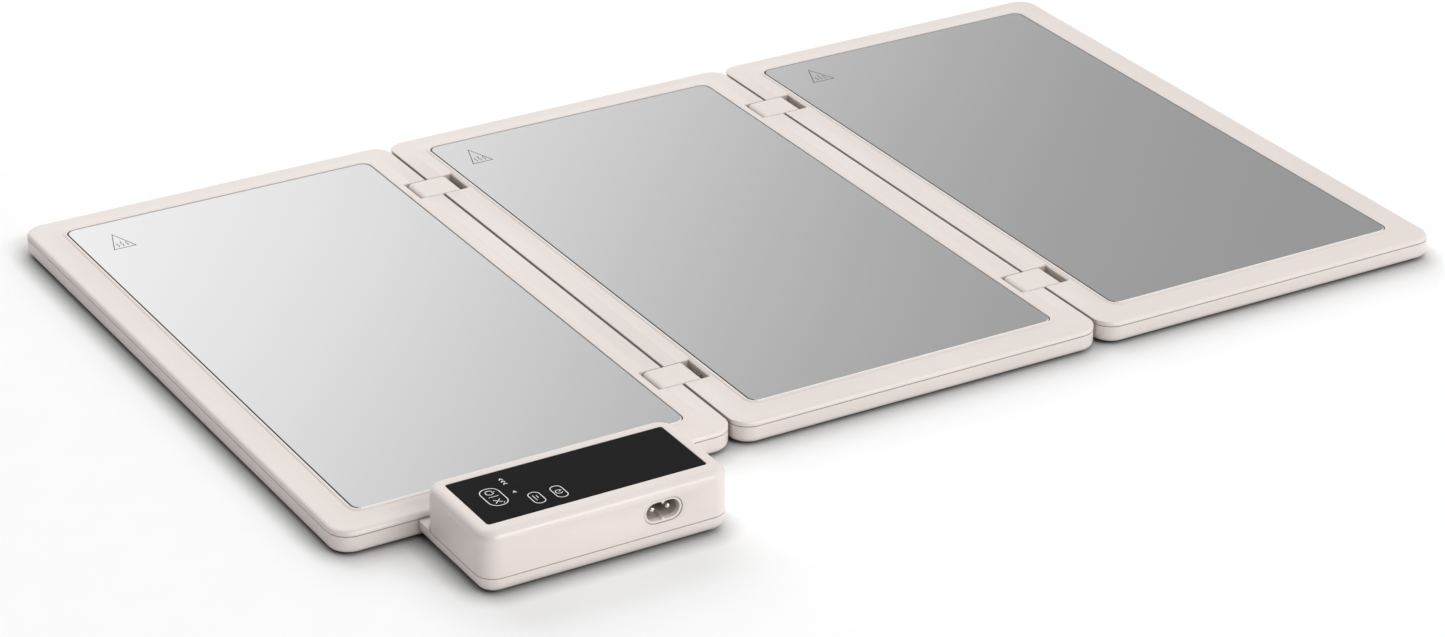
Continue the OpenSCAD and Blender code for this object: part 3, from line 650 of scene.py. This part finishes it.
def links(name, body, node, xs, kind):
    zc = ZT - 3.0 if kind == 1 else Z0 + 3.0
    cy = LEAF["middle"]["cy"]
    w = (POCKET_W - 0.7) / 2
    verts, faces = [], []
    for b in (-1, 1):
        rings = []
        for y, ins in ((-w, 0.42), (-w + 0.08, 0.16), (-w + 0.32, 0.0), (w - 0.32, 0.0), (w - 0.08, 0.16), (w, 0.42)):
            rings.append(np.array([(xs + s, cy + b * HINGE_Y + y, z) for s, z in link_section(kind, zc, ins)]))
        v, f = loft(rings)
        q = len(verts)
        verts += v
        faces += [tuple(i + q for i in h) for h in f]
    o = make(name, verts, faces, M["frame"], None, None)
    cut = []
    for b in (-1, 1):
        yc = cy + b * HINGE_Y
        for a in (-1, 1):
            for c in (-1, 1):
                ang = np.linspace(0, 2 * math.pi, 32, endpoint=False)
                rr_ = [np.column_stack([xs + a * PIVOT + 1.55 * np.cos(ang), np.full(32, yc + c * y), zc + 1.55 * np.sin(ang)]) for y in (4.2, 12.0)]
                cut.append(loft(rr_))
        rr_ = [np.array([(x, yc + p, zc + 0.1 + q) for p, q in ((-2.9, -1.15), (2.9, -1.15), (2.9, 1.15), (-2.9, 1.15))]) for x in (xs - 20, xs + 20)]
        cut.append(loft(rr_))
    boolean(o, joined("cut", cut))
    clean(o, 30)
    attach(o, body)
    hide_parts(node)

seam1 = (LEAF["left"]["hi"][0] + LEAF["middle"]["lo"][0]) / 2
seam2 = (LEAF["middle"]["hi"][0] + LEAF["right"]["lo"][0]) / 2
links("link_plates_1", "links_1", "hinge_links_1", seam1, 1)
links("link_plates_2", "links_2", "hinge_links_2", seam2, 2)

# ---------------------------------------------------------------- control box
def c8_outline(d=0.0, n=18):
    """Inlet outline in (x, z), counter-clockwise: a stadium with a V notch above and below the middle."""
    r, s = 3.9 + d, 3.4
    pts = []
    for sgn in (1, -1):
        for i in range(2 * n + 1):
            a = math.radians(-90 + 180 * i / (2 * n))
            pts.append((sgn * (s + r * math.cos(a)), sgn * r * math.sin(a)))
        pts += [(sgn * 0.95, sgn * r), (sgn * 0.12, sgn * (r - 1.1)), (-sgn * 0.12, sgn * (r - 1.1)), (-sgn * 0.95, sgn * r)]
    return pts

def stadium(half, r, n=18):
    pts = []
    for c, a0 in ((half, -90), (-half, 90)):
        for i in range(n + 1):
            a = math.radians(a0 + 180 * i / n)
            pts.append((c + r * math.cos(a), r * math.sin(a)))
    return pts

def xz(pts, y):
    return np.array([(IX + p, y, IZ + q) for p, q in pts])

def control_box():
    n = 20
    x0, x1, y0, y1 = BX - BW / 2, BX + BW / 2, BY - BD / 2, BY + BD / 2
    P, N = frame_path(x0, x1, y0, y1, 8.0, n)
    off = lambda d: P + N * d
    rt = 3.7
    tx0, tx1, ty0, ty1 = tlo[0] - 0.12, thi[0] + 0.12, tlo[1] - 0.12, thi[1] + 0.12
    rings = [ring(off(2.2), ZB), ring(off(1.3), ZB), ring(off(1.25), ZB + 0.20), ring(off(0.08), ZB + 0.22), ring(off(0.0), ZB + 0.29)]
    k = 12
    for i in range(k + 1):
        a = math.pi / 2 * i / k
        rings.append(ring(off(rt * (1 - math.cos(a))), ZBT - rt * (1 - math.sin(a)) - 0.02))
    rings.append(ring(rrect(tx0 - 0.35, tx1 + 0.35, ty0 - 0.35, ty1 + 0.35, 1.65, n), ZBT))
    rings.append(ring(rrect(tx0 - 0.10, tx1 + 0.10, ty0 - 0.10, ty1 + 0.10, 1.40, n), ZBT - 0.06))
    rings.append(ring(rrect(tx0, tx1, ty0, ty1, 1.30, n), ZBT - 0.28))
    rings.append(ring(rrect(tx0, tx1, ty0, ty1, 1.30, n), ZBT - 1.5))
    rings.append(ring(rrect(tx0 + 5, tx1 - 5, ty0 + 3, ty1 - 3, 1.0, n), ZBT - 1.5))
    rings.append(ring(rrect(tx0 + 5, tx1 - 5, ty0 + 3, ty1 - 3, 1.0, n), ZBT - 2.6))
    rings.append(ring(off(2.2), ZBT - 2.6 - 1.4))
    v, f = loft(rings, close=True)
    o = make("control_box_housing", v, f, M["frame"], None, None)
    # recessed seat of the inlet: a soft lip, a step ring and the hole for the barrel
    cut = []
    seat = [(0.9, -1.0), (0.42, 0.0), (0.16, 0.10), (0.0, 0.34), (0.0, 6.0)]
    cut.append(loft([xz(stadium(3.4, 5.1 + d), y0 + y) for d, y in seat]))
    boolean(o, joined("cut", cut))
    clean(o, 32)
    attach(o, "left_leaf")
    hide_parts("box_housing")
    # base tray, running back to the leaf as a low ledge
    yb = bhi[1]
    P2, N2 = frame_path(x0, x1, y0, yb + 20, 8.0, n)
    off2 = lambda d: P2 + N2 * d
    rb = 5.5
    rings = []
    for i in range(13):
        a = math.pi / 2 * i / 12
        rings.append(ring(off2(rb * (1 - math.sin(a))), Z0 + rb * (1 - math.cos(a))))
    rings += [ring(off2(0.0), ZP - 0.3), ring(off2(0.1), ZP - 0.1), ring(off2(0.34), ZP)]
    v, f = loft(rings)
    b = make("control_box_base", v, f, M["shell"], None, None)
    cav = []
    hp = lambda d: frame_path(x0 + d, x1 - d, y0 + d, y1 - d, 8.0 - d, n)[0]
    # everything above the parting plane under the housing, then the inside of the tray
    cav.append(loft([ring(hp(0.30), ZB - 0.0), ring(hp(0.05), ZB + 0.05), ring(hp(-0.25), ZB + 0.3), ring(hp(-0.25), ZP + 4)]))
    boolean(b, joined("cut", cav))
    front_cut = [loft([ring(rrect(x0 - 6, x1 + 6, y0 - 6, y1 - 9, 0.5, 3), z) for z in (ZB, ZP + 6)])]
    boolean(b, joined("cut", front_cut))
    boolean(b, joined("cut", [loft([ring(hp(2.2), Z0 + 2.0), ring(hp(2.2), ZP + 6)])]))
    tail = [loft([ring(rrect(x0 - 6, x1 + 6, yb - 0.05, yb + 40, 0.5, 3), z) for z in (Z0 - 5, ZP + 6)])]
    tail.append(loft([ring(rrect(BX + 16, BX + 34, y1 - 6, yb + 2, 0.3, 2), z) for z in (Z0 + 2.2, Z0 + 6.0)]))
    for a in (-1, 1):
        for c in (-1, 1):
            tail.append(turned(BX + a * 38, BY + c * 15, ((5.6, Z0 - 1), (5.2, Z0), (5.0, Z0 + 0.2), (5.0, Z0 + 0.8)), 40))
            tail.append(turned(BX + a * 48, BY + c * 19.4, ((2.8, Z0 - 1), (2.8, Z0 + 1.5)), 36))
    boolean(b, joined("cut", tail))
    clean(b, 32)
    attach(b, "left_leaf")
    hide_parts("box_base")
    # touch panel: thin arris
    prof = [(0.0, tlo[2]), (0.0, thi[2] - 0.22), (0.06, thi[2] - 0.10), (0.22, thi[2] - 0.03)]
    v, f = loft([ring(rrect(tlo[0] + d, thi[0] - d, tlo[1] + d, thi[1] - d, 1.2 - d, 10), z) for d, z in prof])
    t = make("touch_glass", v, f, M["black"], "left_leaf", 20)
    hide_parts("touch_panel")
    # foot pads
    verts, faces = [], []
    for a in (-1, 1):
        for c in (-1, 1):
            pv, pf = turned(BX + a * 38, BY + c * 15, ((4.0, 0.0), (4.5, 0.12), (4.78, 0.4), (4.88, 0.8), (4.9, 1.78)), 40)
            q = len(verts)
            verts += pv
            faces += [tuple(i + q for i in h) for h in pf]
    p = make("control_box_foot_pads", verts, faces, M["foot"], "left_leaf", 40)
    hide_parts("box_feet")

def inlet():
    y0 = BY - BD / 2
    # shell-coloured step ring that fills the seat, then the dark moulding with its figure-8 well
    ringp = [(stadium(3.4, 4.98), 0.75), (stadium(3.4, 4.75), 0.62), (stadium(3.4, 4.45), 0.60)]
    out = c8_outline(0.0)
    m = len(out)
    def resample(pts, k):
        pts = np.array(pts + [pts[0]])
        d = np.r_[0, np.cumsum(np.linalg.norm(np.diff(pts, axis=0), axis=1))]
        t = np.linspace(0, d[-1], k, endpoint=False)
        return list(zip(np.interp(t, d, pts[:, 0]), np.interp(t, d, pts[:, 1])))
    def polar(pts, k=160):
        """Points where rays from the middle meet the outline, so that rings line up."""
        dense = np.array(resample(pts, 1600))
        ang = np.arctan2(dense[:, 1] * 1.6, dense[:, 0])
        order = np.argsort(ang)
        res = []
        for i in range(k):
            a = -math.pi + 2 * math.pi * (i + 0.5) / k
            res.append((np.interp(a, ang[order], dense[order, 0], period=2 * math.pi), np.interp(a, ang[order], dense[order, 1], period=2 * math.pi)))
        return res
    k = 160
    stad = lambda r: polar(stadium(3.4, r), k)
    eight = lambda d: polar(c8_outline(d), k)
    # face ring
    rings = [xz(stad(5.02), y0 + 2.9), xz(stad(5.02), y0 + 0.62), xz(stad(4.9), y0 + 0.52), xz(stad(4.7), y0 + 0.50),
             xz(eight(0.30), y0 + 0.50), xz(eight(0.08), y0 + 0.58), xz(eight(0.0), y0 + 0.82), xz(eight(0.0), y0 + 2.9)]
    v, f = loft(rings, close=True)
    o = make("inlet_face_ring", v, f, M["frame"], "left_leaf", 32)
    # barrel with its well
    rings = [xz(eight(0.0), y0 + 2.92), xz(eight(0.0), y0 + 14.0)]
    well_bottom = xz(eight(0.0), y0 + 14.0)
    outer = [xz(stad(4.9), y0 + 17.0), xz(stad(4.9), y0 + 2.92)]
    verts, faces = loft([outer[0], outer[1], rings[0], rings[1]], close=False)
    b = make("inlet_barrel", verts, faces, M["inlet"], "left_leaf", 32)
    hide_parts("inlet_body")
    # pins with domed tips
    verts, faces = [], []
    for a in (-1, 1):
        px = a * 3.45
        prof = [(0.0001, 2.4), (0.45, 2.45), (0.85, 2.68), (1.09, 3.05), (1.18, 3.6), (1.18, 14.0), (0.9, 14.05), (0.9, 20.5)]
        rr_ = []
        ang = np.linspace(0, 2 * math.pi, 28, endpoint=False)
        for r, y in prof:
            rr_.append(np.column_stack([IX + px + r * np.cos(ang), np.full(28, y0 + y), IZ + r * np.sin(ang)]))
        v, f = loft(rr_)
        q = len(verts)
        verts += v
        faces += [tuple(i + q for i in h) for h in f]
    p = make("inlet_contact_pins", verts, faces, M["nickel"], "left_leaf", 40)
    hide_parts("inlet_pins")

control_box()
inlet()

# ---------------------------------------------------------------- printed marks and icons: thin raised ink
def stroke(pts, width, closed=False):
    """Flat ribbon of even width along a polyline with mitred joins: list of (left, right) points."""
    p = np.array(pts, float)
    n = len(p)
    out = []
    for i in range(n):
        if closed:
            a, b, c = p[(i - 1) % n], p[i], p[(i + 1) % n]
        else:
            a, b, c = p[max(i - 1, 0)], p[i], p[min(i + 1, n - 1)]
        d1, d2 = b - a, c - b
        if np.linalg.norm(d1) < 1e-9: d1 = d2
        if np.linalg.norm(d2) < 1e-9: d2 = d1
        d1, d2 = d1 / np.linalg.norm(d1), d2 / np.linalg.norm(d2)
        t = d1 + d2
        t = t / max(np.linalg.norm(t), 1e-9)
        nrm = np.array([-t[1], t[0]])
        k = 1.0 / max(0.45, float(nrm @ np.array([-d1[1], d1[0]])))
        out.append((b + nrm * width / 2 * k, b - nrm * width / 2 * k))
    return out

def ink(name, strokes, place, z, mat, body, thick=0.03):
    """strokes: (points, width, closed) in a flat layout; place maps (u, v) to (x, y)."""
    verts, faces = [], []
    for pts, width, closed in strokes:
        rb = stroke(pts, width, closed)
        n = len(rb)
        base = len(verts)
        for l, r in rb:
            for q in (l, r):
                x, y = place(q[0], q[1])
                verts.append((x, y, z))
                verts.append((x, y, z + thick))
        for i in range(n if closed else n - 1):
            j = (i + 1) % n
            a, b = base + 4 * i, base + 4 * j
            faces += [(a + 1, a + 3, b + 3, b + 1), (a, b, b + 2, a + 2), (a, a + 1, b + 1, b), (a + 2, b + 2, b + 3, a + 3)]
        if not closed:
            faces += [(base, base + 2, base + 3, base + 1), (base + 4 * (n - 1), base + 4 * (n - 1) + 1, base + 4 * (n - 1) + 3, base + 4 * (n - 1) + 2)]
    return make(name, verts, faces, mat, body, None)

def arc(cx, cy, r, a0, a1, n=20):
    return [(cx + r * math.cos(math.radians(a0 + (a1 - a0) * i / n)), cy + r * math.sin(math.radians(a0 + (a1 - a0) * i / n))) for i in range(n + 1)]

# camera, light, floor: see below for the lamps
def icons():
    z = thi[2] - 0.03 + 0.002
    cx, cy = (tlo[0] + thi[0]) / 2, (tlo[1] + thi[1]) / 2
    place = lambda u, v: (ICON_X0 + u, ICON_Y0 + v)
    S = []
    for (pts, w, closed) in ICONS:
        S.append((pts, w, closed))
    o = ink("touch_icons", S, place, z, M["icon"], "left_leaf", 0.02)

def stad_pts(cx, cy, hw, hh, r, n=10):
    pts = []
    for (sx, sy, a0) in ((1, 1, 0), (-1, 1, 90), (-1, -1, 180), (1, -1, 270)):
        for i in range(n + 1):
            a = math.radians(a0 + 90 * i / n)
            pts.append((cx + sx * (hw - r) + r * math.cos(a), cy + sy * (hh - r) + r * math.sin(a)))
    return pts

ICON_X0, ICON_Y0 = tlo[0], tlo[1]
ICONS = []
# main key: outline along Y with a power sign, a bar and a plain cross
ICONS.append((stad_pts(12.0, 18.2, 4.0, 7.1, 3.75), 0.36, True))
ICONS.append((arc(11.9, 21.9, 1.6, 22, 338, 26), 0.34, False))
ICONS.append(([(12.9, 21.9), (14.2, 21.9)], 0.32, False))
ICONS.append(([(9.9, 18.5), (14.2, 18.5)], 0.30, False))
ICONS.append(([(10.4, 13.2), (13.4, 16.0)], 0.34, False))
ICONS.append(([(13.4, 13.4), (10.5, 15.9)], 0.34, False))
ICONS.append(([(13.5, 12.3), (14.0, 13.2)], 0.28, False))
# two smaller keys: a level bar and a dial
ICONS.append((stad_pts(26.05, 9.5, 2.4, 4.55, 2.25), 0.34, True))
ICONS.append(([(25.3, 11.8), (25.3, 7.6)], 0.30, False))
ICONS.append(([(26.6, 11.2), (26.6, 9.0)], 0.30, False))
ICONS.append((stad_pts(35.75, 9.5, 2.35, 4.7, 2.2), 0.34, True))
ICONS.append((arc(35.7, 9.5, 1.4, 20, 330, 18), 0.30, False))
ICONS.append(([(35.7, 9.5), (36.6, 10.2)], 0.28, False))
# indicator ticks and a small mark
for i in range(3):
    v = 29.4 - 1.9 * i
    ICONS.append(([(19.9, v - 0.5), (20.7, v + 0.5), (21.5, v - 0.5)], 0.42, False))
ICONS.append(([(20.1, 17.4), (20.9, 18.5), (21.4, 17.2)], 0.40, False))
icons()

def hot_mark(side, body):
    """Plain rounded triangle with three strokes, printed near the back left corner of the glass."""
    L = LEAF[side]
    z = L["ghi"][2] + 0.001
    gx, gy = L["glo"][0], L["ghi"][1]
    place = lambda u, v: (gx + u, gy - v)
    ax, ay, hw, h = MARKS[side]
    tri = [(ax, ay), (ax - hw, ay + h), (ax + hw, ay + h)]
    S = [(tri, 0.46, True)]
    for i in (-1, 0, 1):
        u, v = ax + 2.1 * i, ay + h - 1.6
        S.append(([(u, v), (u + 0.45, v - 1.3), (u - 0.05, v - 2.6), (u + 0.4, v - (3.9 if i else 5.4))], 0.40, False))
    o = ink(side + "_surface_mark", S, place, z, M["mark"], body, 0.02)

MARKS = {"left": (16.9, 13.0, 5.1, 15.0), "middle": (15.2, 11.0, 5.0, 15.1), "right": (20.2, 10.3, 5.6, 14.2)}
for s in SIDES:
    hot_mark(s, s + "_leaf")

# ---------------------------------------------------------------- materials on the pieces that stay as they are
KEEP = {"glass_gasket": "gasket", "heater_film": "foil", "insulation_pad": "felt", "thermal_cutoff": "cutoff", "temperature_sensor": "bead",
        "leads": "lead", "shell_screws": "screw", "hinge_pins": "pin"}
plan = {f"{s}_{k}": v for s in SIDES for k, v in KEEP.items()}
plan.update(link_leads_1="lead", link_leads_2="lead", light_guide="guide", touch_board="board", power_board="board", power_parts="parts",
            inlet_leads="lead", board_ribbon="lead", box_screws="screw", board_screws="screw", bridge_screws="screw")
for node, key in plan.items():
    o = frame["nodes"][node]
    o.data.materials.clear()
    o.data.materials.append(M[key])

# ---------------------------------------------------------------- floor and studio light
def floor():
    me = bpy.data.meshes.new("floor")
    s = 14.0
    me.from_pydata([(-s, -s, 0), (s, -s, 0), (s, s, 0), (-s, s, 0)], [], [(0, 1, 2, 3)])
    o = bpy.data.objects.new("floor", me)
    scene.collection.objects.link(o)
    m, nt, p = new_mat("pale_floor")
    v = coords(nt)
    n = noise(nt, v, 40, 3)
    pale = ramp(nt, n, [(0.3, (0.905, 0.905, 0.905)), (0.7, (0.915, 0.915, 0.915))])
    # painted contact shadow: an ambient-occlusion multiply greys the floor's colour a little right where something
    # stands on it
    ao = nt.nodes.new("ShaderNodeAmbientOcclusion")
    ao.samples = 6
    ao.inputs["Distance"].default_value = 0.010
    contact_shadow_mix = nt.nodes.new("ShaderNodeMixRGB")
    contact_shadow_mix.blend_type = "MULTIPLY"
    contact_shadow_mix.inputs[0].default_value = 0.78
    nt.links.new(pale, contact_shadow_mix.inputs[1])
    nt.links.new(ao.outputs["AO"], contact_shadow_mix.inputs[2])
    nt.links.new(contact_shadow_mix.outputs[0], p.inputs["Base Color"])
    p.inputs["Roughness"].default_value = 0.9
    p.inputs["Specular IOR Level"].default_value = 0.05
    me.materials.append(m)
    o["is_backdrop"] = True

def area(name, loc, look, size, power, colour=(1, 1, 1), shape="RECTANGLE", spread=180):
    d = bpy.data.lights.new(name, "AREA")
    d.shape = shape
    d.size, d.size_y = size
    d.energy = power
    d.color = colour
    d.spread = math.radians(spread)
    o = bpy.data.objects.new(name, d)
    scene.collection.objects.link(o)
    o.location = loc
    o.rotation_euler = (Vector(look) - Vector(loc)).to_track_quat("-Z", "Y").to_euler()
    return o

def world():
    w = bpy.data.worlds.new("studio")
    scene.world = w
    w.use_nodes = True
    nt = w.node_tree
    nt.nodes.clear()
    out = nt.nodes.new("ShaderNodeOutputWorld")
    bg = nt.nodes.new("ShaderNodeBackground")
    tc = nt.nodes.new("ShaderNodeTexCoord")
    dot = nt.nodes.new("ShaderNodeVectorMath")
    dot.operation = "DOT_PRODUCT"
    ax = Vector((0.68093, -0.61074, 0.40414)).normalized()
    dot.inputs[1].default_value = ax
    nt.links.new(tc.outputs["Generated"], dot.inputs[0])
    mr = nt.nodes.new("ShaderNodeMapRange")
    mr.clamp = True
    mr.inputs["From Min"].default_value = WORLD_S0
    mr.inputs["From Max"].default_value = WORLD_S1
    nt.links.new(dot.outputs["Value"], mr.inputs["Value"])
    col = ramp(nt, mr.outputs[0], WORLD_STOPS)
    side = nt.nodes.new("ShaderNodeVectorMath")
    side.operation = "DOT_PRODUCT"
    side.inputs[1].default_value = Vector((-0.93, -0.12, -0.34)).normalized()
    nt.links.new(tc.outputs["Generated"], side.inputs[0])
    ms = nt.nodes.new("ShaderNodeMapRange")
    ms.clamp = True
    ms.interpolation_type = "SMOOTHSTEP"
    ms.inputs["From Min"].default_value = -0.05
    ms.inputs["From Max"].default_value = 0.60
    ms.inputs["To Min"].default_value = 1.0
    ms.inputs["To Max"].default_value = 0.06
    nt.links.new(side.outputs["Value"], ms.inputs["Value"])
    mul = nt.nodes.new("ShaderNodeMixRGB")
    mul.blend_type = "MULTIPLY"
    mul.inputs[0].default_value = 1.0
    nt.links.new(col, mul.inputs[1])
    nt.links.new(ms.outputs[0], mul.inputs[2])
    nt.links.new(mul.outputs[0], bg.inputs[0])
    bg.inputs[1].default_value = 1.0
    nt.links.new(bg.outputs[0], out.inputs[0])

# brightness of the studio along one direction: bright at the back left, falling to grey at the back right, bright again to the side
WORLD_S0, WORLD_S1 = -1.0, 1.0
WORLD = [(-1.0, 0.95), (-0.40, 1.0), (-0.16, 0.98), (-0.119, 0.925), (-0.087, 0.868), (-0.055, 0.767), (-0.023, 0.650), (0.009, 0.538), (0.041, 0.445),
         (0.073, 0.380), (0.1055, 0.347), (0.14, 0.335), (0.28, 0.34), (0.55, 0.75), (1.0, 0.95)]
WORLD_STOPS = [((s - WORLD_S0) / (WORLD_S1 - WORLD_S0), (v, v, v)) for s, v in WORLD]
world()
floor()
area("top", (0.70, 0.30, 2.5), (0, 0, 0), (1.9, 1.5), 3)
back_lamp = area("back", (0.55, 2.4, 1.6), (0, 0, 0), (3.2, 1.8), 47)
back_lamp.visible_glossy = False
area("front", (0.45, -2.6, 2.0), (0, -0.1, 0.0), (2.6, 0.7), 46)

lo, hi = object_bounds()
